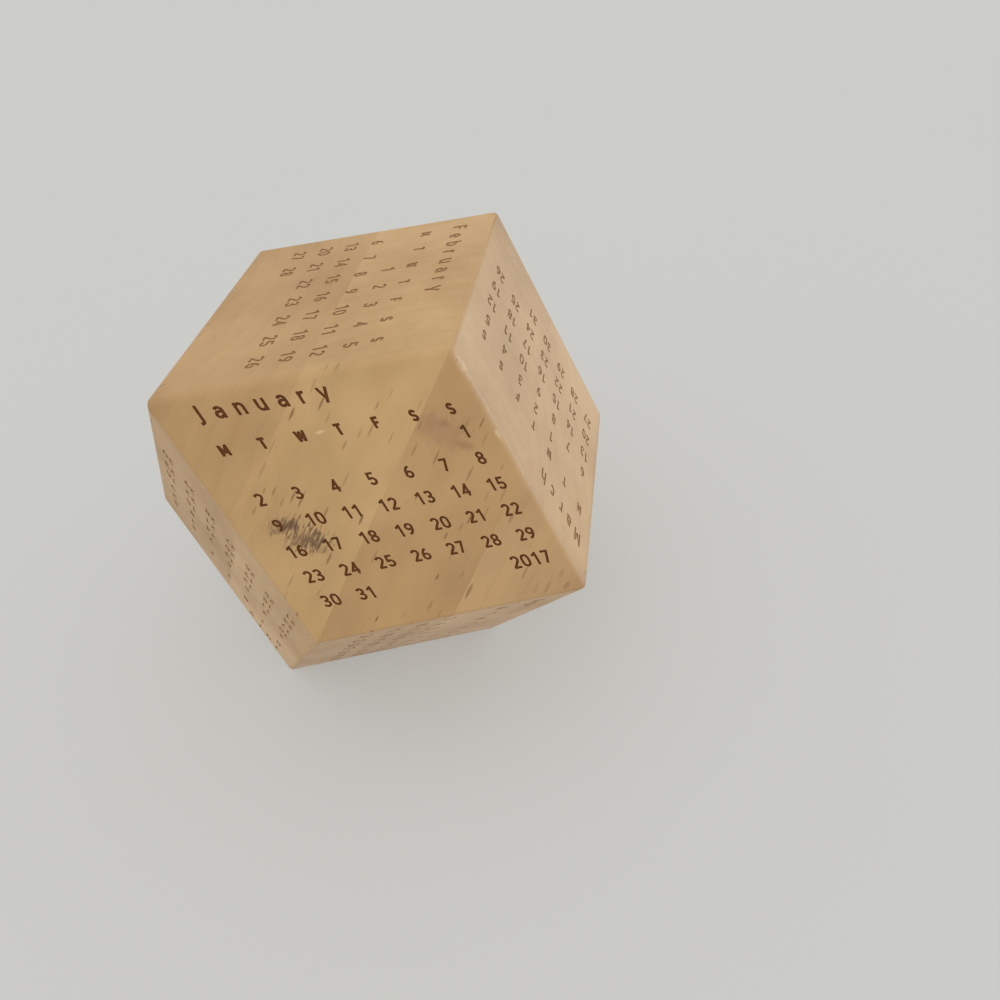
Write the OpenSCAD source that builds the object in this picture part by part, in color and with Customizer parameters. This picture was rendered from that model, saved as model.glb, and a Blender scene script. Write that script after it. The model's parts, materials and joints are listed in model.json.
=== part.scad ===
// Twelve-sided desk calendar block, glued up from four boards.
//
// The boards are glued face to face into a square bar, with the grain along the bar.
// Four slanting cuts at each end then leave twelve equal rhombic faces, one for each month.
// The block stands on one of the slanting cuts. The origin is the centre of that face, +Z is up,
// and the two corners that are furthest apart lie along Y.

/* [Block] */
// Distance between opposite faces, which is also the side of the square bar
across_flats = 80; // [60:1:120]
// Width of the flat that is sanded along each edge
edge_flat = 0.9; // [0.3:0.1:2]
// Depth of the flat that is sanded across each corner
corner_cut = 0.4; // [0.4:0.1:3]

/* [Boards] */
// Thickness of each of the two inner boards, the outer two take what is left of the bar
board_t = 20; // [12:0.5:25]
// Thickness of the glue between two boards
glue_t = 0.1; // [0.05:0.05:0.3]

/* [Hidden] */

// Angles of the block: a cut at 45 degrees, and 120 degrees of wood at every edge
cut_angle = 45;
edge_half_angle = 60;

// Distances between opposite sharp edges and opposite sharp corners
across_edges = across_flats / sin(edge_half_angle);
across_blunt_corners = across_flats * sqrt(3 / 2);
across_sharp_corners = across_flats * sqrt(2);

// How far below the sharp edge its sanded flat lies
edge_depth = edge_flat / 2 / tan(edge_half_angle);

// From the middle of one glue line to the middle of the next
glue_pitch = board_t + glue_t;

// Larger than the block in every direction
reach = 2 * across_flats;

// Where the stack of boards begins and ends, measured from the middle of the bar
stack_end = across_flats / 2;

// Directions in which the block has opposite faces, edges and corners, one of each pair.
// The axes here are the lines through its six sharp corners, with the grain along Z.
signs = [1, -1];
face_directions = [for (a = signs) each [[1, a, 0], [1, 0, a], [0, 1, a]]];
edge_directions = [for (a = signs, b = signs) each [[2, a, b], [a, 2, b], [a, b, 2]]];
blunt_corner_directions = [for (a = signs, b = signs) [1, a, b]];
sharp_corner_directions = [[1, 0, 0], [0, 1, 0], [0, 0, 1]];

// Sets the bar's axes, with the boards stacked along X and the grain along Z, in the block
module in_bar() {
    rotate([0, 0, -cut_angle])
        children();
}

// Stands the block on one of its slanting faces
module standing() {
    translate([0, 0, across_flats / 2])
        rotate([0, cut_angle, 0])
            children();
}

// What lies between two parallel planes that are square to a direction
module slab(direction, thickness) {
    tilt = acos(direction.z / norm(direction));
    turn = atan2(direction.y, direction.x);
    rotate([0, tilt, turn])
        cube([reach, reach, thickness], center = true);
}

// The whole block, with its edges and corners sanded
module block() {
    intersection() {
        intersection_for (d = face_directions)
            slab(d, across_flats);
        intersection_for (d = edge_directions)
            slab(d, across_edges - 2 * edge_depth);
        intersection_for (d = blunt_corner_directions)
            slab(d, across_blunt_corners - 2 * corner_cut);
        intersection_for (d = sharp_corner_directions)
            slab(d, across_sharp_corners - 2 * corner_cut);
    }
}

// The layer of the block from one distance along the stack to another
module layer(from, to) {
    standing()
        intersection() {
            block();
            in_bar()
                translate([from, -reach / 2, -reach / 2])
                    cube([to - from, reach, reach]);
        }
}

// One glue line, by its place in the stack counted from the middle one
module glue_line(place) {
    middle = place * glue_pitch;
    color([0.55, 0.40, 0.24])
        layer(middle - glue_t / 2, middle + glue_t / 2);
}

module upper_outer_board() {
    color([0.68, 0.54, 0.37])
        layer(-stack_end, -glue_pitch - glue_t / 2);
}

module upper_inner_board() {
    color([0.75, 0.62, 0.44])
        layer(-glue_pitch + glue_t / 2, -glue_t / 2);
}

module lower_inner_board() {
    color([0.69, 0.55, 0.38])
        layer(glue_t / 2, glue_pitch - glue_t / 2);
}

module lower_outer_board() {
    color([0.72, 0.59, 0.43])
        layer(glue_pitch + glue_t / 2, stack_end);
}

module upper_glue_line() {
    glue_line(-1);
}

module middle_glue_line() {
    glue_line(0);
}

module lower_glue_line() {
    glue_line(1);
}

upper_outer_board();
upper_glue_line();
upper_inner_board();
middle_glue_line();
lower_inner_board();
lower_glue_line();
lower_outer_board();
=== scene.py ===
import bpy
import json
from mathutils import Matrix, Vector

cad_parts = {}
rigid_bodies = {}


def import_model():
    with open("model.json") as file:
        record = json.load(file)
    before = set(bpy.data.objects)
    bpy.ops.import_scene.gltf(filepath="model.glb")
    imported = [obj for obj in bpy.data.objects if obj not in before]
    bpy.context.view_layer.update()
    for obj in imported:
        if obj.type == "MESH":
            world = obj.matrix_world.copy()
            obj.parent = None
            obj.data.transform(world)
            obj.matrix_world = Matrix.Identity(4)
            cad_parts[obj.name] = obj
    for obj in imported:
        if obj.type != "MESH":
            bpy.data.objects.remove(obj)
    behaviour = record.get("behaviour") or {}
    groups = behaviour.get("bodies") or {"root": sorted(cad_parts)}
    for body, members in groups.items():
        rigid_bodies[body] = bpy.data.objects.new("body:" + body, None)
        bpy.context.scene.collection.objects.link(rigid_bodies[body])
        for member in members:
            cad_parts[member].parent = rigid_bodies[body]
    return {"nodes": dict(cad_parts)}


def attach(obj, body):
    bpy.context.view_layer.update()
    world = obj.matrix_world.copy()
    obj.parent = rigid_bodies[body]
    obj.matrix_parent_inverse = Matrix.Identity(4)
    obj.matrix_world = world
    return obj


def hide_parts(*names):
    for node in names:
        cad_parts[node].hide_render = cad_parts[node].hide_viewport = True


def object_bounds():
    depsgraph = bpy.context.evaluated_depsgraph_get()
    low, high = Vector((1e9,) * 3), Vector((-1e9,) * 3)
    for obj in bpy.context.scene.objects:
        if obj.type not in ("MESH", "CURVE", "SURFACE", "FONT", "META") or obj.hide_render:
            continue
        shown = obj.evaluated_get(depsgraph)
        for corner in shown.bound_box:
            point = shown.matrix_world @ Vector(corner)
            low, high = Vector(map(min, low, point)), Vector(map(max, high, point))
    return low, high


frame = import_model()

import calendar
import json
import math
import random

import bmesh
import bpy
from mathutils import Euler, Matrix, Vector

bl_info = {
    "name": "Twelve-Sided Desk Calendar",
    "version": (1, 0, 0),
    "blender": (4, 5, 0),
    "location": "View3D > Sidebar > Calendar",
    "description": "Makes the boards, the glue lines and the stage of a laminated beech calendar block",
    "category": "Add Mesh",
}

MM = 0.001
CAD_LOW, CAD_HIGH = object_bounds()
ACROSS_FLATS = CAD_HIGH.x - CAD_LOW.x

# The pieces, from the upper left rear corner of the block to the lower right front one
BOARDS = ("upper_outer_board", "upper_inner_board", "lower_inner_board", "lower_outer_board")
GLUE_LINES = ("upper_glue_line", "middle_glue_line", "lower_glue_line")

# Half the side of the cube that the block's eight blunt corners lie on, and the length of an edge.
# The six sharp corners lie twice as far out as that, along the cube's axes.
CUBE_HALF = ACROSS_FLATS / (2 * math.sqrt(2))
EDGE = math.sqrt(3) * CUBE_HALF

# The cube's axes, with the grain along Z, as the block stands on one of its slanting faces
STANDING = Matrix.Translation((0, 0, ACROSS_FLATS / 2)) @ Matrix.Rotation(math.radians(45), 4, "Y")
# The bar's axes: X through the stack of boards, Y across them and Z along the grain
BAR = STANDING @ Matrix.Rotation(math.radians(-45), 4, "Z")

# The calendar on the faces. Each quarter's three pages meet at one blunt corner and turn round it.
MONTHS = (
    "January", "February", "March", "April", "May", "June",
    "July", "August", "September", "October", "November", "December",
)
WEEKDAYS = "MTWTFSS"
JANUARY = 1
MOST_ROWS = 6
QUARTER_CORNERS = ((-1, -1, 1), (1, -1, -1), (-1, 1, -1), (1, 1, 1))
FIRST_AXES = (0, 2, 1, 1)
AXIS_ORDER = (0, 2, 1)

# A page, in edge lengths to the right of its top left corner and down from it. The whole page leans
# back with its rhombus, by so much to the right for each step down.
LEAN = 0.365
PAGE_LEFT, COLUMN_PITCH = 0.128, 0.1269
HEADING_LEFT, HEADING_BASE, HEADING_HEIGHT, HEADING_PITCH = 0.123, 0.0955, 0.0568, 0.0683
WEEKDAY_BASE, WEEKDAY_HEIGHT = 0.2195, 0.040
DAY_LEFT, DAY_BASE, DAY_HEIGHT, DAY_ROW, DIGIT_PITCH = 0.1305, 0.309, 0.048, 0.1013, 0.0344
YEAR_MIDDLE, YEAR_BASE, YEAR_HEIGHT, YEAR_PITCH = 0.8585, 0.8155, 0.052, 0.0375
SHORT_MONTH_DROP = 0.066

# Strokes of the lettering, in heights of a capital
STROKE, WEEKDAY_STROKE = 0.175, 0.24
LOWER_CASE = 0.77
DIGIT_WIDTH = 0.6
DIGIT_STRETCH, SMALL_STRETCH = 1.02, 1.06
WIDE_WEEKDAYS, WIDE_STRETCH = "MW", 0.86
ARC_STEP = 30
SHARPEST_MITRE = 0.5

# The names of a nick and of a weekday's letter among the cutters
NICK = "nick"
WEEKDAY = "weekday "

# Nicks along the edges: how many edges have one, where along its edge it may lie, and its size
NICK_SEED = 12
NICKED_SHARE = 0.4
NICK_SPAN, NICK_LENGTH_MM = (0.08, 0.92), (0.8, 2.2)
NICK_HALF_WIDTH, NICK_DEPTH = 0.11 * MM, 0.32 * MM
NICK_SIDES = 6

# Steps round and along the ball that rounds off a corner of the block
BALL_SEGMENTS, BALL_RINGS = 24, 12

# Leaves the block a hair inside its solid, whatever way the numbers are rounded
SHRINK = 1 - 5e-6

# Angle above which an edge of a mesh stays sharp
SHARP_ANGLE = math.radians(28)

# How each board grew: the way its rings face, in degrees round the grain from across the stack,
# the share of its ray flecks that show, how much darker its slanting cuts are than its sides, and a
# shift that gives it a pattern of its own
GROWTH = {
    "upper_outer_board": (8, 0.24, 0.0, 109.6),
    "upper_inner_board": (86, 0.41, 0.1, 755.7),
    "lower_inner_board": (97, 0.24, 0.0, 238.7),
    "lower_outer_board": (48, 0.24, -0.2, 625.8),
}
# Millimetres to the pith and from one ring to the next
PITH_AWAY, RING_PITCH = 85.0, 3.1
# Millimetres from ray to ray and half the size of one, across the rings, along them and along the grain
RAY_PITCH, RAY_HALF = (9.0, 1.9, 4.0), (4.5, 0.31, 1.5)
# How squarely a side has to cut the rays for their flecks to begin to show, and to show in full
FLECKS_FROM, FLECKS_FULL = 0.55, 0.72

# Tones of the wood, in shares of a board's own red, green and blue
PALE_WOOD, DARK_WOOD, RUDDY_WOOD = (1.16, 1.17, 1.20), (0.83, 0.80, 0.75), (0.98, 0.89, 0.82)
FLECK_WOOD, WORN_WOOD, SOILED_WOOD = (0.46, 0.36, 0.24), (1.16, 1.22, 1.38), (0.70, 0.64, 0.58)
PALE_GLUE, DARK_GLUE = (1.06, 1.06, 1.06), (0.92, 0.91, 0.90)

# Millimetres in from a side of the bar at which its finish has faded out, and is still full
SIDE_FADED, SIDE_FULL = 1.4, 0.8
# Millimetres in from an edge at which its wear begins and is full, and from a sharp corner for its dirt
WORN_FROM, WORN_FULL = 1.0, 0.3
SOILED_FROM, SOILED_FULL = 3.2, 0.8

# The floor: half its side, how much brighter it is in a sheen, and how much of it shows no shadow
FLOOR_HALF, FLOOR_IN_SHEEN, FLOOR_UNSHADED = 20.0, 0.3, 0.5
# The light of the room, and the lamp that shows only in the wood's sheen
ROOM_TINT, SHEEN_TINT = (1.0, 0.995, 0.985, 1.0), (0.92, 1.0, 0.97)
SHEEN_SIZE, SHEEN_PLACE = (1.2, 0.36), (0.86, -0.6, 0.19)
# The camera's place, in distances between opposite faces, and its turn in degrees
CAMERA_PLACE, CAMERA_TURN = (-0.78728, -1.34563, 1.84067), (44.0647, 4.7091, -46.1023)
SENSOR_WIDTH = 36.0


def arc(x, y, across, up, start, end):
    """Points on an oval round x, y from one angle to another; a falling angle runs clockwise."""
    steps = max(2, round(abs(end - start) / ARC_STEP))
    turns = [math.radians(start + (end - start) * i / steps) for i in range(steps + 1)]
    return [(x + across * math.cos(t), y + up * math.sin(t)) for t in turns]


def ring(x, y, across, up):
    """A closed oval stroke."""
    return arc(x, y, across, up, 0, 360)


def half_turn(strokes, x, y):
    """The same strokes turned upside down about a point."""
    return [[(2 * x - px, 2 * y - py) for px, py in stroke] for stroke in strokes]


def stretched(shapes, share):
    """The same characters, each that much wider."""
    return {
        character: [[(x * share, y) for x, y in stroke] for stroke in strokes]
        for character, strokes in shapes.items()
    }


def digit_strokes():
    """The ten digits, each a list of strokes."""
    stadium = arc(0.30, 0.66, 0.215, 0.255, 0, 180) + arc(0.30, 0.34, 0.215, 0.255, 180, 360)
    six = [ring(0.30, 0.30, 0.215, 0.215), arc(0.515, 0.30, 0.43, 0.62, 100, 180)]
    return {
        "0": [stadium + stadium[:1]],
        "1": [[(0.37, 0), (0.37, 1)], [(0.41, 0.93), (0.10, 0.73)]],
        "2": [
            arc(0.30, 0.695, 0.21, 0.22, 165, -30) + [(0.10, 0.06)],
            [(0.06, 0.085), (0.55, 0.085)],
        ],
        "3": [
            arc(0.28, 0.71, 0.20, 0.205, 155, -90) + [(0.20, 0.505)],
            [(0.20, 0.505)] + arc(0.28, 0.295, 0.225, 0.21, 90, -160),
        ],
        "4": [[(0.44, 0.97), (0.09, 0.30), (0.58, 0.30)], [(0.42, 0), (0.42, 1)]],
        "5": [[(0.53, 0.915), (0.155, 0.915), (0.12, 0.44)], arc(0.29, 0.315, 0.225, 0.23, 140, -155)],
        "6": six,
        "7": [[(0.05, 0.915), (0.55, 0.915)], [(0.48, 0.93), (0.21, 0)]],
        "8": [ring(0.30, 0.715, 0.19, 0.20), ring(0.30, 0.295, 0.215, 0.21)],
        "9": half_turn(six, 0.30, 0.5),
    }


def capital_strokes():
    """The capitals that the months and the weekdays begin with."""
    return {
        "A": [[(0.05, 0), (0.30, 0.98)], [(0.57, 0), (0.32, 0.98)], [(0.14, 0.29), (0.48, 0.29)]],
        "D": [[(0.10, 0.085), (0.10, 0.915)] + arc(0.27, 0.5, 0.26, 0.415, 90, -90) + [(0.10, 0.085)]],
        "F": [[(0.10, 0), (0.10, 1)], [(0.08, 0.915), (0.52, 0.915)], [(0.08, 0.50), (0.46, 0.50)]],
        "J": [[(0.36, 1), (0.36, 0.04)] + arc(0.18, 0.04, 0.18, 0.155, -20, -105)],
        "M": [
            [(0.09, 0), (0.09, 1)],
            [(0.71, 0), (0.71, 1)],
            [(0.10, 0.94), (0.40, 0.22)],
            [(0.70, 0.94), (0.40, 0.22)],
        ],
        "N": [[(0.09, 0), (0.09, 1)], [(0.55, 0), (0.55, 1)], [(0.10, 0.94), (0.54, 0.06)]],
        "O": [ring(0.33, 0.5, 0.25, 0.415)],
        "S": [arc(0.30, 0.705, 0.195, 0.21, 15, 270) + arc(0.30, 0.29, 0.21, 0.205, 90, -160)[1:]],
        "T": [[(0.01, 0.915), (0.59, 0.915)], [(0.30, 0), (0.30, 0.95)]],
        "W": [
            [(0.07, 1), (0.24, 0.03)],
            [(0.24, 0.03), (0.46, 0.94)],
            [(0.46, 0.94), (0.68, 0.03)],
            [(0.68, 0.03), (0.85, 1)],
        ],
    }


def small_letter_strokes():
    """The small letters of the months' names."""
    x = LOWER_CASE
    bowl = ring(0.30, x / 2, 0.205, 0.30)
    arch = arc(0.29, 0.485, 0.19, 0.20, 180, 0) + [(0.48, 0)]
    stem = [(0.10, 0), (0.10, x)]
    small_s = arc(0.27, 0.565, 0.165, 0.125, 15, 270) + arc(0.27, 0.265, 0.175, 0.175, 90, -160)[1:]
    return {
        "a": [
            [(0.47, 0), (0.47, 0.49)] + arc(0.28, 0.49, 0.19, 0.195, 20, 155),
            [(0.47, 0.43)] + arc(0.25, 0.255, 0.165, 0.175, 90, 270) + [(0.47, 0.19)],
        ],
        "b": [bowl, [(0.10, 0), (0.10, 1)]],
        "c": [arc(0.30, x / 2, 0.205, 0.30, 45, 315)],
        "d": [bowl, [(0.50, 0), (0.50, 1)]],
        "e": [arc(0.30, x / 2, 0.21, 0.30, -5, 315), [(0.12, 0.375), (0.52, 0.375)]],
        "g": [bowl, [(0.50, x), (0.50, -0.06)] + arc(0.30, -0.06, 0.20, 0.16, -20, -150)],
        "h": [[(0.10, 0), (0.10, 1)], arch],
        "i": [stem, [(0.10, 0.87), (0.10, 1.04)]],
        "l": [[(0.10, 0), (0.10, 1)]],
        "m": [
            stem,
            arc(0.25, 0.505, 0.15, 0.18, 180, 0) + [(0.40, 0)],
            arc(0.55, 0.505, 0.15, 0.18, 180, 0) + [(0.70, 0)],
        ],
        "n": [stem, arch],
        "o": [bowl],
        "p": [bowl, [(0.10, -0.22), (0.10, x)]],
        "r": [stem, arc(0.32, 0.45, 0.22, 0.235, 180, 75)],
        "s": [small_s],
        "t": [
            [(0.20, 0.96), (0.20, 0.22)] + arc(0.36, 0.22, 0.16, 0.14, 210, 275),
            [(0.03, 0.685), (0.42, 0.685)],
        ],
        "u": half_turn([stem, arch], 0.29, x / 2),
        "v": [[(0.04, x), (0.28, 0.03)], [(0.52, x), (0.28, 0.03)]],
        "y": [[(0.04, x), (0.28, 0.05)], [(0.52, x), (0.21, -0.19)]],
    }


class Steps:
    """Adds nodes to a tree and joins them, so that a tree reads as a list of steps."""

    def __init__(self, tree):
        self.tree = tree

    def add(self, kind, feeds=None, **settings):
        """Adds one node, with its settings and with values or other nodes on its inputs."""
        node = self.tree.nodes.new(kind)
        for name, value in settings.items():
            setattr(node, name, value)
        for socket, value in (feeds or {}).items():
            self.feed(node.inputs[socket], value)
        return node

    def feed(self, socket, value):
        """Joins an input to a node, to an output or to several of them, or sets it to a plain value."""
        if isinstance(value, list):
            for part in value:
                self.feed(socket, part)
        elif isinstance(value, bpy.types.Node):
            self.tree.links.new(value.outputs[0], socket)
        elif isinstance(value, bpy.types.NodeSocket):
            self.tree.links.new(value, socket)
        else:
            socket.default_value = value

    def math(self, operation, *values, clamp=False):
        """One sum of one, two or three numbers."""
        return self.add("ShaderNodeMath", dict(enumerate(values)), operation=operation, use_clamp=clamp)


class ShaderSteps(Steps):
    """The steps of one material, with the sums and patterns that its finishes share."""

    def __init__(self, name):
        self.material = bpy.data.materials.new(name)
        self.material.use_nodes = True
        super().__init__(self.material.node_tree)
        self.tree.nodes.clear()

    def vector(self, operation, *values):
        """One sum of vectors."""
        node = self.add("ShaderNodeVectorMath", dict(enumerate(values)), operation=operation)
        return node.outputs["Value" if operation in {"LENGTH", "DOT_PRODUCT"} else "Vector"]

    def parts(self, place):
        """The three numbers of a vector."""
        return self.add("ShaderNodeSeparateXYZ", {0: place}).outputs

    def weighted(self, start, *pairs):
        """A number plus several others, each times its weight."""
        total = start
        for value, weight in pairs:
            total = self.math("MULTIPLY_ADD", value, weight, total)
        return total

    def share(self, value):
        """A number held between nought and one."""
        return self.math("ADD", value, 0.0, clamp=True)

    def ramp(self, value, low, high, out_low=0.0, out_high=1.0):
        """A smooth step between two values."""
        feeds = {"Value": value, "From Min": low, "From Max": high}
        feeds.update({"To Min": out_low, "To Max": out_high})
        return self.add("ShaderNodeMapRange", feeds, interpolation_type="SMOOTHSTEP")

    def blend(self, share, first, second):
        """Two colours mixed by a share."""
        node = self.add("ShaderNodeMix", data_type="RGBA")
        self.feed(node.inputs["Factor"], share)
        self.feed(node.inputs[6], first)
        self.feed(node.inputs[7], second)
        return node.outputs[2]

    def noise(self, place, stretch, shift=0.0, detail=2.0, rough=0.5):
        """Soft noise round nought, with so many waves to the unit along each axis."""
        feeds = {0: place, 1: stretch, 2: (shift, shift, shift)}
        grid = self.add("ShaderNodeVectorMath", feeds, operation="MULTIPLY_ADD")
        feeds = {"Vector": grid, "Scale": 1.0, "Detail": detail, "Roughness": rough}
        return self.math("SUBTRACT", self.add("ShaderNodeTexNoise", feeds).outputs[0], 0.5)

    def placed(self, axes, unit):
        """Where a point lies along some axes, in units from their origin."""
        inward = axes.inverted()
        feeds = {
            "Vector": self.add("ShaderNodeTexCoord").outputs["Object"],
            "Location": inward.translation / unit,
            "Rotation": inward.to_euler(),
            "Scale": (1 / unit, 1 / unit, 1 / unit),
        }
        return self.add("ShaderNodeMapping", feeds).outputs[0]

    def oval(self, place, middle, reach, turn):
        """How far a point lies from the middle of an oval, in shares of its reach."""
        feeds = {"Vector": place, "Location": middle, "Rotation": (0, 0, turn), "Scale": reach}
        return self.vector("LENGTH", self.add("ShaderNodeMapping", feeds, vector_type="TEXTURE"))

    def surface(self, color, roughness, height, height_mm, **constants):
        """Ends the material in one surface shader with a bump."""
        feeds = {"Height": height, "Distance": height_mm * MM, "Strength": 1.0}
        bump = self.add("ShaderNodeBump", feeds)
        feeds = {"Base Color": color, "Roughness": roughness, "Normal": bump}
        shader = self.add("ShaderNodeBsdfPrincipled", feeds)
        for name, value in constants.items():
            shader.inputs[name.replace("_", " ")].default_value = value
        self.add("ShaderNodeOutputMaterial", {"Surface": shader})
        return self.material


def tint(red, green, blue):
    """A colour as it looks on a screen, from 0 to 255, in the light units that shaders take."""
    shares = [part / 255 for part in (red, green, blue)]
    linear = [s / 12.92 if s <= 0.04045 else ((s + 0.055) / 1.055) ** 2.4 for s in shares]
    return (*linear, 1.0)


def toned(color, red, green, blue):
    """A colour with each of its parts made so many times as strong."""
    return (color[0] * red, color[1] * green, color[2] * blue, 1.0)


def geometry_tree(name, inputs):
    """An empty Geometry Nodes tree with named inputs, as its steps and its input node."""
    tree = bpy.data.node_groups.new(name, "GeometryNodeTree")
    tree.interface.new_socket("Geometry", in_out="OUTPUT", socket_type="NodeSocketGeometry")
    for label, kind in {"Geometry": "Geometry", **inputs}.items():
        tree.interface.new_socket(label, in_out="INPUT", socket_type="NodeSocket" + kind)
    steps = Steps(tree)
    return steps, steps.add("NodeGroupInput").outputs


def end_tree(steps, geometry, finish, keep=None):
    """Ends a tree in real geometry with its finish, except where it has the finish to keep."""
    real = steps.add("GeometryNodeRealizeInstances", {"Geometry": geometry})
    feeds = {"Geometry": real, "Material": finish}
    if keep is not None:
        kept = steps.add("GeometryNodeMaterialSelection", {"Material": keep})
        feeds["Selection"] = steps.add("FunctionNodeBooleanMath", {0: kept}, operation="NOT")
    steps.add("NodeGroupOutput", {"Geometry": steps.add("GeometryNodeSetMaterial", feeds)})
    return steps


def run_tree(steps, name, mesh, values):
    """Runs a tree on a mesh, with its inputs set, and returns what comes out as a plain mesh."""
    worker = bpy.data.objects.new(name, mesh)
    bpy.context.scene.collection.objects.link(worker)
    modifier = worker.modifiers.new(name, "NODES")
    modifier.node_group = steps.tree
    for item in steps.tree.interface.items_tree:
        if item.in_out == "INPUT" and item.name in values:
            modifier[item.identifier] = values[item.name]
    result = plain_mesh(worker)
    bpy.data.objects.remove(worker)
    for index in reversed(range(len(result.materials))):
        if result.materials[index] is None:
            result.materials.pop(index=index)
    return result


def plain_mesh(worker):
    """The mesh that an object's modifiers give, with the modifiers left behind."""
    depsgraph = bpy.context.evaluated_depsgraph_get()
    return bpy.data.meshes.new_from_object(
        worker.evaluated_get(depsgraph), preserve_all_data_layers=True, depsgraph=depsgraph
    )


def add_stroke(mesh, path, width):
    """Adds one stroke to a mesh as a closed ribbon that reaches one unit up and one unit down."""
    places = [Vector(place) for place in path]
    closed = (places[0] - places[-1]).length < 1e-6
    if closed:
        places.pop()
    runs = [(b - a).normalized() for a, b in zip(places, places[1:] + places[:1])]
    last = len(places) - 1
    sections = []
    for i, place in enumerate(places):
        ahead = runs[i] if closed or i < last else runs[i - 1]
        behind = runs[i - 1] if closed or i > 0 else runs[i]
        side = (ahead + behind).orthogonal().normalized()
        square = max(side.dot(ahead.orthogonal()), SHARPEST_MITRE)
        out = side * width / 2 / square
        corners = [(place + out, 1), (place + out, -1), (place - out, -1), (place - out, 1)]
        sections.append([mesh.verts.new((p.x, p.y, height)) for p, height in corners])
    for first, second in zip(sections, sections[1:] + (sections[:1] if closed else [])):
        for k in range(4):
            mesh.faces.new((first[k], first[k - 1], second[k - 1], second[k]))
    if not closed:
        mesh.faces.new(sections[0])
        mesh.faces.new(reversed(sections[-1]))


def character_ribbons(character, strokes, width):
    """The strokes of a character as ribbons round its own middle, leaning with the page."""
    spots = [place[0] for stroke in strokes for place in stroke]
    middle = DIGIT_WIDTH * DIGIT_STRETCH / 2 if character.isdigit() else (min(spots) + max(spots)) / 2
    ribbons = bmesh.new()
    for stroke in strokes:
        add_stroke(ribbons, stroke, width)
    for corner in ribbons.verts:
        corner.co.x -= middle + LEAN * corner.co.y
    bmesh.ops.recalc_face_normals(ribbons, faces=ribbons.faces)
    mesh = bpy.data.meshes.new("strokes")
    ribbons.to_mesh(mesh)
    ribbons.free()
    return mesh


def merge_tree():
    """Merges the overlapping strokes of a character into one closed shape."""
    steps, inputs = geometry_tree("Merge Strokes", {"Finish": "Material"})
    merged = steps.add("GeometryNodeMeshBoolean", operation="UNION", solver="EXACT")
    steps.feed(merged.inputs["Mesh 2"], inputs["Geometry"])
    steps.feed(merged.inputs["Self Intersection"], True)
    return end_tree(steps, merged, inputs["Finish"])


def nick_tree():
    """A small pointed chip of unit half length, width and depth."""
    steps, inputs = geometry_tree("Chip", {"Sides": "Int", "Finish": "Material"})
    feeds = {"Segments": inputs["Sides"], "Rings": inputs["Sides"], "Radius": 1.0}
    return end_tree(steps, steps.add("GeometryNodeMeshUVSphere", feeds), inputs["Finish"])


def cutter_shapes(finish):
    """A collection with one closed shape for each character and for a nick, and their order in it."""
    characters = {
        **stretched(digit_strokes(), DIGIT_STRETCH),
        **capital_strokes(),
        **stretched(small_letter_strokes(), SMALL_STRETCH),
    }
    merge = merge_tree()
    meshes = {}
    for character, strokes in characters.items():
        ribbons = character_ribbons(character, strokes, STROKE)
        meshes[character] = run_tree(merge, "character", ribbons, {"Finish": finish})
    weekdays = {letter: characters[letter] for letter in WEEKDAYS}
    weekdays.update(stretched({letter: characters[letter] for letter in WIDE_WEEKDAYS}, WIDE_STRETCH))
    for character, strokes in weekdays.items():
        ribbons = character_ribbons(character, strokes, WEEKDAY_STROKE)
        meshes[WEEKDAY + character] = run_tree(merge, "weekday", ribbons, {"Finish": finish})
    values = {"Sides": NICK_SIDES, "Finish": finish}
    meshes[NICK] = run_tree(nick_tree(), NICK, bpy.data.meshes.new("start"), values)
    shapes = bpy.data.collections.new("cutter_shapes")
    order = {}
    for number, (name, mesh) in enumerate(meshes.items()):
        shapes.objects.link(bpy.data.objects.new(f"cutter_{number:02d}", mesh))
        order[name] = number
    return shapes, order


def page_axes(month):
    """The axes of a month's page: right, up and out, from its top left corner."""
    quarter, place = divmod(month - 1, 3)
    blunt = Vector(QUARTER_CORNERS[quarter])
    sharp = []
    for back in (0, 1):
        axis = AXIS_ORDER[(FIRST_AXES[quarter] + place - back) % 3]
        corner = Vector((0, 0, 0))
        corner[axis] = 2 * blunt[axis]
        sharp.append(corner)
    right = (blunt - sharp[0]).normalized()
    out = (sharp[0] + sharp[1]).normalized()
    axes = Matrix((right, out.cross(right), out)).transposed().to_4x4()
    return STANDING @ Matrix.Translation(sharp[0] * CUBE_HALF) @ axes


def page_marks(month, year):
    """Each character on a month's page, with its place across and down and its height."""
    first, days = calendar.monthrange(year, month)
    rows = math.ceil((first + days) / len(WEEKDAYS))
    drop = (MOST_ROWS - rows) * SHORT_MONTH_DROP
    marks = []

    def write(text, start, base, height, pitch):
        for i, character in enumerate(text):
            marks.append((character, start + pitch * i + LEAN * base, base + drop, height))

    def write_round(text, middle, base, height, pitch):
        write(text, middle - pitch * (len(text) - 1) / 2, base, height, pitch)

    write(MONTHS[month - 1], HEADING_LEFT, HEADING_BASE, HEADING_HEIGHT, HEADING_PITCH)
    weekdays = [WEEKDAY + letter for letter in WEEKDAYS]
    write(weekdays, PAGE_LEFT, WEEKDAY_BASE, WEEKDAY_HEIGHT, COLUMN_PITCH)
    for day in range(1, days + 1):
        row, column = divmod(first + day - 1, len(WEEKDAYS))
        middle, base = DAY_LEFT + COLUMN_PITCH * column, DAY_BASE + DAY_ROW * row
        write_round(str(day), middle, base, DAY_HEIGHT, DIGIT_PITCH)
    if month == JANUARY:
        write_round(str(year), YEAR_MIDDLE, YEAR_BASE, YEAR_HEIGHT, YEAR_PITCH)
    return marks


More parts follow.
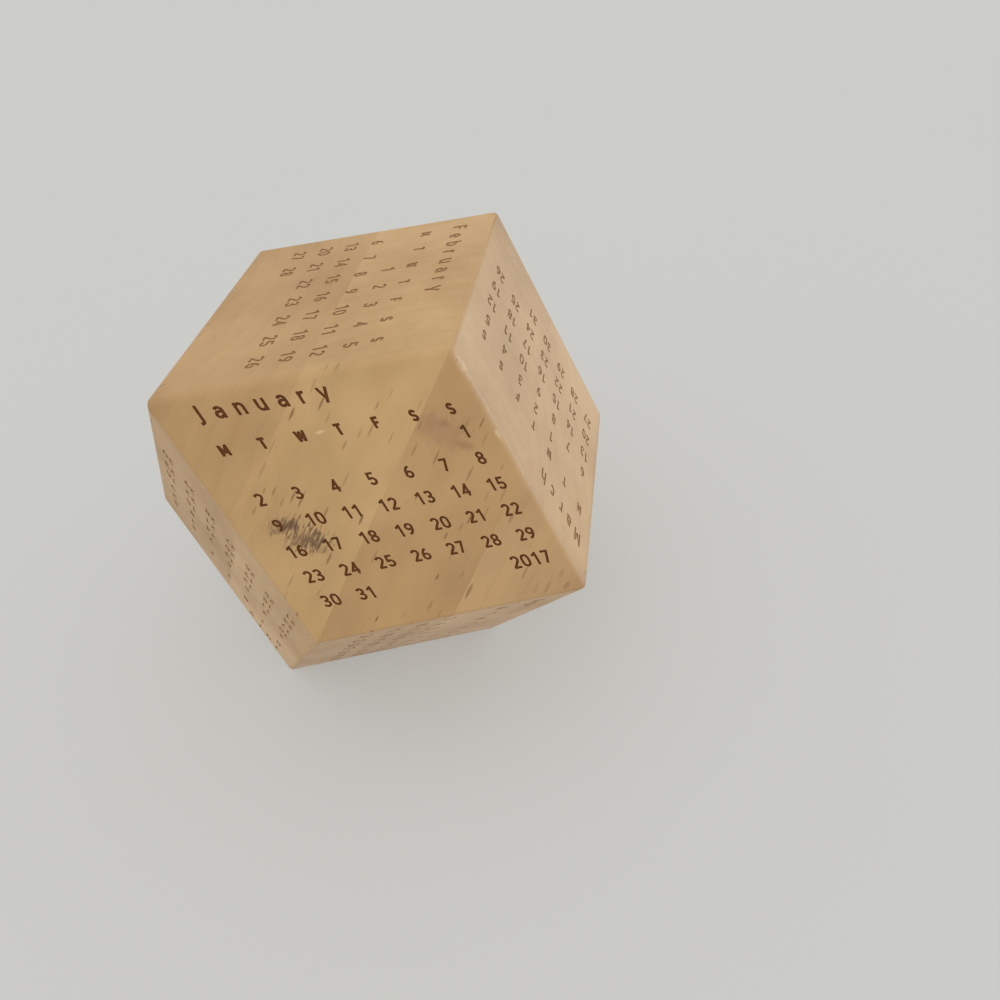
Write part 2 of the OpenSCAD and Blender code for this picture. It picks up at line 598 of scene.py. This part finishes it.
def edge_nicks():
    """Each nick on the block's edges, as its edge, its share of the way along it and its length."""
    chance = random.Random(NICK_SEED)
    nicks = []
    signs = (-1, 1)
    corners = [(x, y, z) for x in signs for y in signs for z in signs]
    for edge in [(corner, axis) for corner in corners for axis in range(3)]:
        share = chance.uniform(*NICK_SPAN)
        length = chance.uniform(*NICK_LENGTH_MM) * MM
        if chance.random() < NICKED_SHARE:
            nicks.append((edge, share, length))
    return nicks


def nick_axes(edge, share):
    """The axes of a nick: along its edge, across it and out, from its middle on the edge."""
    blunt, axis = Vector(edge[0]), edge[1]
    sharp = Vector((0, 0, 0))
    sharp[axis] = 2 * blunt[axis]
    along, out = (sharp - blunt).normalized(), (sharp + blunt).normalized()
    out = (out - along * out.dot(along)).normalized()
    axes = Matrix((along, out.cross(along), out)).transposed().to_4x4()
    return STANDING @ Matrix.Translation(blunt.lerp(sharp, share) * CUBE_HALF) @ axes


def cutter_points(settings, order):
    """A mesh with a point for each cut in the block, and its number, turn and size."""
    places, numbers, turns, sizes = [], [], [], []

    def mark(name, axes, place, size):
        places.append(axes @ Vector(place))
        numbers.append(order[name])
        turns.extend(axes.to_euler())
        sizes.extend(size)

    for month in range(1, len(MONTHS) + 1):
        axes = page_axes(month)
        for character, across, down, height in page_marks(month, settings.year):
            size = (height * EDGE, height * EDGE, settings.depth)
            mark(character, axes, (across * EDGE, -down * EDGE, 0), size)
    for edge, share, length in edge_nicks():
        mark(NICK, nick_axes(edge, share), (0, 0, 0), (length / 2, NICK_HALF_WIDTH, NICK_DEPTH))
    mesh = bpy.data.meshes.new("cutter_points")
    mesh.from_pydata(places, [], [])
    mesh.attributes.new("number", "INT", "POINT").data.foreach_set("value", numbers)
    mesh.attributes.new("turn", "FLOAT_VECTOR", "POINT").data.foreach_set("vector", turns)
    mesh.attributes.new("size", "FLOAT_VECTOR", "POINT").data.foreach_set("vector", sizes)
    return mesh


def cutter_tree():
    """Sets a shape at each point, by the point's own number, turn and size."""
    steps, inputs = geometry_tree("Set Cutters", {"Shapes": "Collection", "Finish": "Material"})

    def named(name, kind):
        return steps.add("GeometryNodeInputNamedAttribute", {"Name": name}, data_type=kind)

    feeds = {"Collection": inputs["Shapes"], "Separate Children": True, "Reset Children": True}
    feeds = {
        "Points": inputs["Geometry"],
        "Instance": steps.add("GeometryNodeCollectionInfo", feeds),
        "Pick Instance": True,
        "Instance Index": named("number", "INT"),
        "Rotation": steps.add("FunctionNodeEulerToRotation", {"Euler": named("turn", "FLOAT_VECTOR")}),
        "Scale": named("size", "FLOAT_VECTOR"),
    }
    cutters = steps.add("GeometryNodeInstanceOnPoints", feeds)
    for name in ("number", "turn", "size"):
        cutters = steps.add("GeometryNodeRemoveAttribute", {"Geometry": cutters, "Name": name})
    return end_tree(steps, cutters, inputs["Finish"])


def block_tree():
    """The block with its edges rounded: the hull of balls of uneven size, one in each corner."""
    sizes = ("Across Flats", "Blunt Corner", "Sharp Corner", "Least Round", "Most Round")
    kinds = {**dict.fromkeys(sizes, "Float"), "Seed": "Int", "Finish": "Material"}
    steps, inputs = geometry_tree("Round Block", kinds)
    side = steps.math("MULTIPLY", inputs["Blunt Corner"], 2.0)
    size = steps.add("ShaderNodeCombineXYZ", {0: side, 1: side, 2: side})
    cube = steps.add("GeometryNodeMeshCube", {"Size": size})
    feeds = {"Segments": 4, "Rings": 2, "Radius": inputs["Sharp Corner"]}
    octahedron = steps.add("GeometryNodeMeshUVSphere", feeds)
    points = steps.add("GeometryNodeJoinGeometry", {"Geometry": [cube, octahedron]})
    round_off = steps.add("FunctionNodeRandomValue", data_type="FLOAT")
    steps.feed(round_off.inputs[2], inputs["Least Round"])
    steps.feed(round_off.inputs[3], inputs["Most Round"])
    steps.feed(round_off.inputs["Seed"], inputs["Seed"])
    radius = round_off.outputs[1]
    half = steps.math("MULTIPLY", inputs["Across Flats"], 0.5)
    inset = steps.math("SUBTRACT", 1.0, steps.math("DIVIDE", radius, half))
    feeds = {0: steps.add("GeometryNodeInputPosition"), "Scale": inset}
    inward = steps.add("ShaderNodeVectorMath", feeds, operation="SCALE")
    feeds = {"Segments": BALL_SEGMENTS, "Rings": BALL_RINGS, "Radius": 1.0}
    feeds = {
        "Points": steps.add("GeometryNodeSetPosition", {"Geometry": points, "Position": inward}),
        "Instance": steps.add("GeometryNodeMeshUVSphere", feeds),
        "Scale": radius,
    }
    balls = steps.add("GeometryNodeInstanceOnPoints", feeds)
    balls = steps.add("GeometryNodeRealizeInstances", {"Geometry": balls})
    feeds = {
        "Geometry": steps.add("GeometryNodeConvexHull", {"Geometry": balls}),
        "Translation": STANDING.translation,
        "Rotation": STANDING.to_euler(),
        "Scale": (SHRINK, SHRINK, SHRINK),
    }
    return end_tree(steps, steps.add("GeometryNodeTransform", feeds), inputs["Finish"])


def carve_tree():
    """Cuts the lettering and the nicks into the block."""
    kinds = {"Cutters": "Object", "Finish": "Material", "Burnt": "Material"}
    steps, inputs = geometry_tree("Cut Block", kinds)
    cutters = steps.add("GeometryNodeObjectInfo", {"Object": inputs["Cutters"]}).outputs["Geometry"]
    cut = steps.add("GeometryNodeMeshBoolean", operation="DIFFERENCE", solver="MANIFOLD")
    steps.feed(cut.inputs["Mesh 1"], inputs["Geometry"])
    steps.feed(cut.inputs["Mesh 2"], cutters)
    return end_tree(steps, cut, inputs["Finish"], keep=inputs["Burnt"])


def layer_tree():
    """Keeps what lies between two planes across the stack, and gives it its finish."""
    kinds = {"From": "Float", "To": "Float"}
    kinds.update(dict.fromkeys(("Bare", "Finish", "Burnt"), "Material"))
    steps, inputs = geometry_tree("Cut Layer", kinds)
    thick = steps.math("SUBTRACT", inputs["To"], inputs["From"])
    middle = steps.math("MULTIPLY", steps.math("ADD", inputs["To"], inputs["From"]), 0.5)
    reach = 2 * ACROSS_FLATS
    size = steps.add("ShaderNodeCombineXYZ", {0: thick, 1: reach, 2: reach})
    feeds = {
        "Geometry": steps.add("GeometryNodeMeshCube", {"Size": size}),
        "Translation": steps.add("ShaderNodeCombineXYZ", {0: middle}),
    }
    feeds = {
        "Geometry": steps.add("GeometryNodeTransform", feeds),
        "Translation": BAR.translation,
        "Rotation": BAR.to_euler(),
    }
    slab = steps.add("GeometryNodeTransform", feeds)
    slab = steps.add("GeometryNodeReplaceMaterial", {"Geometry": slab, "New": inputs["Finish"]})
    feeds = {"Geometry": inputs["Geometry"], "Old": inputs["Bare"], "New": inputs["Finish"]}
    block = steps.add("GeometryNodeReplaceMaterial", feeds)
    kept = steps.add("GeometryNodeMeshBoolean", operation="INTERSECT", solver="MANIFOLD")
    steps.feed(kept.inputs["Mesh 2"], [block, slab])
    return end_tree(steps, kept, inputs["Finish"], keep=inputs["Burnt"])


def carved_block(settings):
    """The whole block with its lettering and nicks cut in, made once and then kept for the layers."""
    kept = bpy.data.meshes.get("carved_block")
    if kept:
        return kept
    burnt, bare = burnt_wood(settings), bpy.data.materials.new("bare_wood")
    values = {
        "Across Flats": ACROSS_FLATS,
        "Blunt Corner": CUBE_HALF,
        "Sharp Corner": 2 * CUBE_HALF,
        "Least Round": settings.least_round,
        "Most Round": settings.most_round,
        "Seed": settings.wear_seed,
        "Finish": bare,
    }
    block = run_tree(block_tree(), "round_block", bpy.data.meshes.new("start"), values)
    shapes, order = cutter_shapes(burnt)
    points = cutter_points(settings, order)
    cutters = run_tree(cutter_tree(), "cutters", points, {"Shapes": shapes, "Finish": burnt})
    cutter = bpy.data.objects.new("cutters", cutters)
    bpy.context.scene.collection.objects.link(cutter)
    values = {"Cutters": cutter, "Finish": bare, "Burnt": burnt}
    carved = run_tree(carve_tree(), "carved", block, values)
    carved.name = "carved_block"
    bpy.data.objects.remove(cutter)
    for shape in list(shapes.objects):
        bpy.data.objects.remove(shape)
    bpy.data.collections.remove(shapes)
    return carved


def stack_span(node):
    """How far a board or a glue line reaches along the stack, from the middle of the block."""
    inward = BAR.inverted()
    places = [(inward @ vertex.co).x for vertex in frame["nodes"][node].data.vertices]
    return min(places), max(places)


def add_layer(tree, node, piece_name, finish, settings):
    """Cuts one board or glue line out of the carved block, in place of its plain solid."""
    block = carved_block(settings)
    low, high = stack_span(node)
    values = {
        "From": low,
        "To": high,
        "Bare": bpy.data.materials["bare_wood"],
        "Finish": finish,
        "Burnt": burnt_wood(settings),
    }
    mesh = run_tree(tree, piece_name, block.copy(), values)
    mesh.shade_smooth()
    mesh.set_sharp_from_angle(angle=SHARP_ANGLE)
    piece = bpy.data.objects.new(piece_name, mesh)
    bpy.context.scene.collection.objects.link(piece)
    smooth = piece.modifiers.new("even normals", "WEIGHTED_NORMAL")
    smooth.keep_sharp = True
    piece.data = plain_mesh(piece)
    piece.modifiers.clear()
    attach(piece, "root")
    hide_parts(node)
    return piece


def bar_sides(steps, bar):
    """How far a point lies on one of the bar's sides across the stack, and on one along it, up to 1."""
    wall = ACROSS_FLATS / 2 / MM
    across, along, _ = steps.parts(steps.vector("ABSOLUTE", bar))
    return [steps.ramp(away, wall - SIDE_FADED, wall - SIDE_FULL) for away in (across, along)]


def burnt_wood(settings):
    """The scorched floor and walls of the lettering, paler on the slanting cuts across the grain."""
    kept = bpy.data.materials.get("burnt_wood")
    if kept:
        return kept
    steps = ShaderSteps("burnt_wood")
    bar = steps.placed(BAR, MM)
    char = steps.noise(bar, (2.2, 2.2, 0.6), detail=3.0)
    side = steps.math("MAXIMUM", *bar_sides(steps, bar))
    deep, faint = tuple(settings.burnt), tuple(settings.burnt_faint)
    ends = steps.ramp(steps.parts(bar)[2], -20.0, 20.0, 1.0, 0.86)
    scorch = steps.weighted(0.0, (steps.math("SUBTRACT", 1.0, side), ends), (char, 0.5))
    color = steps.blend(steps.share(scorch), deep, faint)
    roughness = steps.math("MULTIPLY_ADD", char, 0.2, 0.8)
    return steps.surface(color, roughness, char, 0.06, Specular_IOR_Level=0.2)


def ray_flecks(steps, place, share):
    """Short dark spindles along the grain, where a board's rays come out at its surface."""
    cells = steps.vector("DIVIDE", place, RAY_PITCH)
    texture = steps.add("ShaderNodeTexVoronoi", {"Vector": cells, "Scale": 1.0, "Randomness": 1.0})
    away = steps.vector("SUBTRACT", cells, texture.outputs["Position"])
    size = tuple(pitch / half for pitch, half in zip(RAY_PITCH, RAY_HALF))
    across, beside, along = steps.parts(steps.vector("ABSOLUTE", steps.vector("MULTIPLY", away, size)))
    draw = steps.parts(texture.outputs["Color"])
    along = steps.math("DIVIDE", along, steps.math("MULTIPLY_ADD", draw[1], 1.0, 0.5))
    taper = steps.math("ADD", steps.math("POWER", along, 2.0), steps.math("POWER", across, 4.0))
    inside = steps.weighted(1.0, (taper, -1.0), (beside, -1.0))
    spindle = steps.ramp(inside, 0.0, 0.6)
    shown = steps.math("LESS_THAN", draw[0], share)
    depth = steps.math("MULTIPLY_ADD", steps.math("POWER", draw[2], 1.9), 0.78, 0.27)
    return steps.math("MULTIPLY", steps.math("MULTIPLY", spindle, shown), depth)


def stains(steps, color, grain, spots):
    """Smudges and spots on January's page, with ragged rims that follow the grain."""
    if not spots:
        return color
    page = steps.placed(page_axes(JANUARY), EDGE)
    ragged = steps.noise(grain, (2.2, 2.2, 0.6), 5.0, detail=3.0, rough=0.6)
    for (across, down), (half_across, half_down), turn, stain, strength, rag in spots:
        reach = (half_across, half_down, min(half_across, half_down))
        rim = steps.oval(page, (across, -down, 0), reach, math.radians(turn))
        rim = steps.math("MULTIPLY_ADD", ragged, rag, rim)
        color = steps.blend(steps.ramp(rim, 1.0, 0.2, 0.0, strength), color, stain)
    return color


def edge_wear(steps, ragged):
    """How far a point lies on a worn edge, and how far on a soiled sharp corner, both up to 1."""
    outward = steps.parts(steps.vector("ABSOLUTE", steps.placed(STANDING, MM)))
    most = steps.math("MAXIMUM", steps.math("MAXIMUM", outward[0], outward[1]), outward[2])
    least = steps.math("MINIMUM", steps.math("MINIMUM", outward[0], outward[1]), outward[2])
    second_face = steps.math("DIVIDE", steps.math("ADD", most, least), math.sqrt(2))
    inside = steps.math("SUBTRACT", ACROSS_FLATS / 2 / MM, second_face)
    worn = steps.ramp(steps.math("MULTIPLY_ADD", ragged, 1.2, inside), WORN_FROM, WORN_FULL)
    tip = 2 * CUBE_HALF / MM
    outside = steps.math("MULTIPLY_ADD", ragged, 5.0, most)
    soiled = steps.ramp(outside, tip - SOILED_FROM, tip - SOILED_FULL)
    return worn, soiled


def beech(node, tone, spots):
    """Steamed beech: growth rings, fibres, pores and ray flecks, with worn edges and stains."""
    ring_turn, fleck_share, cut_depth, shift = GROWTH[node]
    turn = math.radians(ring_turn)
    steps = ShaderSteps("beech_" + node)
    bar = steps.placed(BAR, MM)
    wander = steps.noise(bar, (0.05, 0.05, 0.025), shift, detail=1.0)
    grain = steps.vector("MULTIPLY_ADD", wander, (2.2, 2.2, 0.0), bar)
    turned = steps.add("ShaderNodeMapping", {"Vector": grain, "Rotation": (0, 0, -turn)}).outputs[0]

    fibre = steps.noise(grain, (1.7, 1.7, 0.07), shift, detail=5.0, rough=0.6)
    pores = steps.noise(grain, (5.5, 5.5, 0.4), shift, detail=1.0)
    cloud = steps.noise(bar, (0.07, 0.07, 0.045), shift + 7.0, detail=3.0)
    ruddy = steps.noise(bar, (0.13, 0.13, 0.05), shift + 31.0, detail=3.0)
    bands = steps.noise(grain, (0.3, 0.3, 0.022), shift + 17.0, detail=2.0)
    from_pith = steps.vector("MULTIPLY_ADD", turned, (1, 1, 0), (PITH_AWAY, 0, 0))
    rings = steps.weighted(0.0, (steps.vector("LENGTH", from_pith), 1 / RING_PITCH), (cloud, 1.4))
    late_wood = steps.math("POWER", steps.math("FRACT", rings), 4.0)

    across, along = bar_sides(steps, bar)
    slanting = steps.math("SUBTRACT", 1.0, steps.math("MAXIMUM", across, along))
    depth = steps.weighted(0.46, (cloud, 1.8), (bands, 0.28), (late_wood, 0.16), (slanting, cut_depth))
    depth = steps.weighted(depth, (fibre, 0.17), (pores, 0.16))
    color = steps.blend(steps.share(depth), toned(tone, *PALE_WOOD), toned(tone, *DARK_WOOD))
    color = steps.blend(steps.ramp(ruddy, 0.02, 0.22, 0.0, 0.4), color, toned(tone, *RUDDY_WOOD))

    facing = steps.weighted(0.0, (across, abs(math.cos(turn))), (along, abs(math.sin(turn))))
    facing = steps.ramp(facing, FLECKS_FROM, FLECKS_FULL)
    flecks = steps.math("MULTIPLY", ray_flecks(steps, turned, fleck_share), facing)
    color = steps.blend(steps.math("MULTIPLY", flecks, 0.95), color, toned(tone, *FLECK_WOOD))

    worn, soiled = edge_wear(steps, cloud)
    color = steps.blend(steps.math("MULTIPLY", worn, 0.15), color, toned(tone, *WORN_WOOD))
    color = steps.blend(steps.math("MULTIPLY", soiled, 0.35), color, toned(tone, *SOILED_WOOD))
    color = stains(steps, color, grain, spots)

    roughness = steps.weighted(0.5, (fibre, 0.25), (cloud, 0.2), (worn, 0.1), (flecks, 0.15))
    height = steps.weighted(0.0, (fibre, 0.6), (pores, 0.5), (flecks, -0.25))
    return steps.surface(color, roughness, height, 0.02)


def set_glue(color):
    """Set glue, close to the wood in colour and a little clouded."""
    steps = ShaderSteps("set_glue")
    bar = steps.placed(BAR, MM)
    cloud = steps.noise(bar, (0.6, 0.6, 0.6), detail=3.0)
    depth = steps.share(steps.math("MULTIPLY_ADD", cloud, 1.4, 0.5))
    shade = steps.blend(depth, toned(color, *PALE_GLUE), toned(color, *DARK_GLUE))
    return steps.surface(shade, steps.math("MULTIPLY_ADD", cloud, 0.2, 0.45), cloud, 0.01)


def pale_floor(color, room):
    """A plain pale floor, whose shadows show at a part of their depth, and not at all in a sheen."""
    steps = ShaderSteps("pale_floor")
    place = steps.add("ShaderNodeTexCoord").outputs["Object"]
    cloud = steps.math("MULTIPLY_ADD", steps.noise(place, (4.0, 4.0, 4.0)), 0.4, 0.5)
    tone = steps.blend(cloud, toned(color, 1.02, 1.02, 1.02), toned(color, 0.98, 0.98, 0.98))
    lit = steps.add("ShaderNodeBsdfDiffuse", {"Color": tone})
    rays = steps.add("ShaderNodeLightPath").outputs
    strength = steps.math("MULTIPLY_ADD", rays["Is Glossy Ray"], FLOOR_IN_SHEEN * room, room)
    shown = steps.add("ShaderNodeEmission", {"Color": tone, "Strength": strength})
    share = steps.math("MULTIPLY_ADD", rays["Is Camera Ray"], FLOOR_UNSHADED, rays["Is Glossy Ray"])
    mixed = steps.add("ShaderNodeMixShader", {0: share, 1: lit, 2: shown})
    steps.add("ShaderNodeOutputMaterial", {"Surface": mixed})
    return steps.material


PENCIL, RED_STREAK = tint(76, 46, 20), tint(158, 115, 84)
SCUFF, SOIL = tint(226, 200, 156), tint(134, 96, 58)
# Stains on January's page, each with its middle across and down and its half lengths, in edge lengths,
# its turn in degrees, its colour, its strength and how ragged its rim is
STAINS = {
    "upper_inner_board": (
        ((0.352, 0.494), (0.046, 0.040), -30, PENCIL, 0.66, 3.2),
        ((0.326, 0.496), (0.066, 0.046), -15, PENCIL, 0.50, 3.2),
        ((0.414, 0.566), (0.048, 0.046), -20, PENCIL, 0.46, 4.2),
        ((0.382, 0.546), (0.066, 0.050), -15, PENCIL, 0.56, 4.0),
        ((0.434, 0.596), (0.036, 0.032), -20, PENCIL, 0.34, 3.0),
        ((0.519, 0.197), (0.022, 0.009), 10, SCUFF, 0.6, 0.5),
    ),
    "lower_inner_board": (
        ((0.915, 0.262), (0.160, 0.085), -35, RED_STREAK, 0.45, 1.4),
        ((0.885, 0.238), (0.060, 0.045), -20, RED_STREAK, 0.25, 1.4),
        ((0.930, 0.246), (0.028, 0.022), 0, SOIL, 0.35, 0.8),
        ((0.988, 0.333), (0.050, 0.022), -25, SOIL, 0.35, 0.8),
        ((1.035, 0.060), (0.070, 0.030), -70, SCUFF, 0.45, 1.6),
        ((1.108, 0.318), (0.012, 0.035), 20, SCUFF, 0.5, 1.2),
    ),
    "lower_outer_board": (
        ((1.262, 0.918), (0.026, 0.011), 40, SOIL, 0.45, 1.2),
    ),
}


def add_floor(scene, settings):
    """Lays the floor that the block stands on."""
    corners = [(x * FLOOR_HALF, y * FLOOR_HALF, 0) for x, y in ((-1, -1), (1, -1), (1, 1), (-1, 1))]
    mesh = bpy.data.meshes.new("pale_floor")
    mesh.from_pydata(corners, [], [(0, 1, 2, 3)])
    mesh.materials.append(pale_floor(tuple(settings.floor), settings.room))
    floor = bpy.data.objects.new("pale_floor", mesh)
    scene.collection.objects.link(floor)


def add_lights(scene, settings):
    """Sets the even light of the room, and the lamp that shows only in the wood's sheen."""
    world = bpy.data.worlds.new("soft_room")
    world.use_nodes = True
    background = world.node_tree.nodes["Background"]
    background.inputs["Color"].default_value = ROOM_TINT
    background.inputs["Strength"].default_value = settings.room
    scene.world = world

    lamp = bpy.data.lights.new("sheen", "AREA")
    lamp.shape = "RECTANGLE"
    lamp.size, lamp.size_y = SHEEN_SIZE
    lamp.energy = settings.sheen
    lamp.color = SHEEN_TINT
    sheen = bpy.data.objects.new("sheen", lamp)
    sheen.location = SHEEN_PLACE
    sheen.visible_diffuse = False
    aim = Vector((0, 0, ACROSS_FLATS / 2)) - sheen.location
    sheen.rotation_euler = aim.to_track_quat("-Z", "Y").to_euler()
    scene.collection.objects.link(sheen)


def add_camera(scene, settings):
    """Sets the camera at the angle from which the block is shown."""
    view = bpy.data.cameras.new("camera")
    view.lens = settings.lens
    view.sensor_width = SENSOR_WIDTH
    camera = bpy.data.objects.new("camera", view)
    camera.location = Vector(CAMERA_PLACE) * ACROSS_FLATS
    camera.rotation_euler = Euler([math.radians(turn) for turn in CAMERA_TURN])
    scene.collection.objects.link(camera)
    scene.camera = camera


def color_property(name, description, *screen):
    """A colour that a user can change."""
    return bpy.props.FloatVectorProperty(
        name=name,
        description=description,
        default=tint(*screen),
        subtype="COLOR",
        size=4,
        min=0.0,
        max=1.0,
    )


class CalendarBlockSettings(bpy.types.PropertyGroup):
    """Sizes and colours of the block and of its lettering."""

    least_round: bpy.props.FloatProperty(
        name="Least Round", description="Radius of the crispest corner", default=1.0 * MM, unit="LENGTH"
    )
    most_round: bpy.props.FloatProperty(
        name="Most Round", description="Radius of the most worn corner", default=2.0 * MM, unit="LENGTH"
    )
    wear_seed: bpy.props.IntProperty(
        name="Wear", description="Which of the corners are the most worn", default=379
    )
    depth: bpy.props.FloatProperty(
        name="Depth", description="Depth of the lettering", default=0.14 * MM, unit="LENGTH"
    )
    year: bpy.props.IntProperty(name="Year", description="Year of the calendar", default=2017)
    upper_outer_board: color_property("Upper Outer Board", "Colour of its wood", 184, 146, 96)
    upper_inner_board: color_property("Upper Inner Board", "Colour of its wood", 194, 157, 105)
    lower_inner_board: color_property("Lower Inner Board", "Colour of its wood", 186, 147, 97)
    lower_outer_board: color_property("Lower Outer Board", "Colour of its wood", 190, 152, 104)
    glue: color_property("Glue", "Colour of the glue", 192, 154, 103)
    burnt: color_property("Lettering", "Colour of the lettering along the grain", 100, 58, 22)
    burnt_faint: color_property("Faint Lettering", "Colour of the palest lettering", 168, 131, 91)


class CalendarStageSettings(bpy.types.PropertyGroup):
    """Floor, light and camera."""

    floor: color_property("Floor", "Colour of the floor", 209, 209, 206)
    room: bpy.props.FloatProperty(name="Room", description="Strength of the even light", default=0.95)
    sheen: bpy.props.FloatProperty(
        name="Sheen", description="Power of the lamp that only sheen shows", default=11.0, unit="POWER"
    )
    lens: bpy.props.FloatProperty(name="Lens", description="Focal length", default=26.36, unit="CAMERA")


class CALENDAR_OT_boards(bpy.types.Operator):
    """Cut the four beech boards"""

    bl_idname = "calendar.boards"
    bl_label = "Four Boards"

    def execute(self, context):
        settings = context.scene.calendar_block
        tree = layer_tree()
        for node in BOARDS:
            finish = beech(node, tuple(getattr(settings, node)), STAINS.get(node, ()))
            add_layer(tree, node, node.replace("board", "beech"), finish, settings)
        return {"FINISHED"}


class CALENDAR_OT_glue_lines(bpy.types.Operator):
    """Cut the three glue lines"""

    bl_idname = "calendar.glue_lines"
    bl_label = "Three Glue Lines"

    def execute(self, context):
        settings = context.scene.calendar_block
        tree = layer_tree()
        finish = set_glue(tuple(settings.glue))
        for node in GLUE_LINES:
            add_layer(tree, node, node.replace("line", "film"), finish, settings)
        return {"FINISHED"}


class CALENDAR_OT_stage(bpy.types.Operator):
    """Set the floor, the lights and the camera"""

    bl_idname = "calendar.stage"
    bl_label = "Stage"

    def execute(self, context):
        settings = context.scene.calendar_stage
        context.scene.view_settings.view_transform = "Standard"
        add_floor(context.scene, settings)
        add_lights(context.scene, settings)
        add_camera(context.scene, settings)
        return {"FINISHED"}


class CALENDAR_PT_pieces(bpy.types.Panel):
    """Lists the pieces of the calendar block and their settings"""

    bl_idname = "CALENDAR_PT_pieces"
    bl_label = "Calendar Block"
    bl_space_type = "VIEW_3D"
    bl_region_type = "UI"
    bl_category = "Calendar"

    def draw(self, context):
        for operator in OPERATORS:
            self.layout.operator(operator.bl_idname)
        for settings in (context.scene.calendar_block, context.scene.calendar_stage):
            for name in settings.__annotations__:
                self.layout.prop(settings, name)


OPERATORS = (CALENDAR_OT_stage, CALENDAR_OT_boards, CALENDAR_OT_glue_lines)
CLASSES = (CalendarBlockSettings, CalendarStageSettings, *OPERATORS, CALENDAR_PT_pieces)


def register():
    """Adds the classes and the settings to Blender."""
    for entry in CLASSES:
        bpy.utils.register_class(entry)
    bpy.types.Scene.calendar_block = bpy.props.PointerProperty(type=CalendarBlockSettings)
    bpy.types.Scene.calendar_stage = bpy.props.PointerProperty(type=CalendarStageSettings)


def unregister():
    """Takes the settings and the classes out again."""
    del bpy.types.Scene.calendar_stage
    del bpy.types.Scene.calendar_block
    for entry in reversed(CLASSES):
        bpy.utils.unregister_class(entry)


def main():
    """Makes every piece."""
    register()
    bpy.ops.calendar.stage()
    bpy.ops.calendar.boards()
    bpy.ops.calendar.glue_lines()


if __name__ == "__main__":
    main()
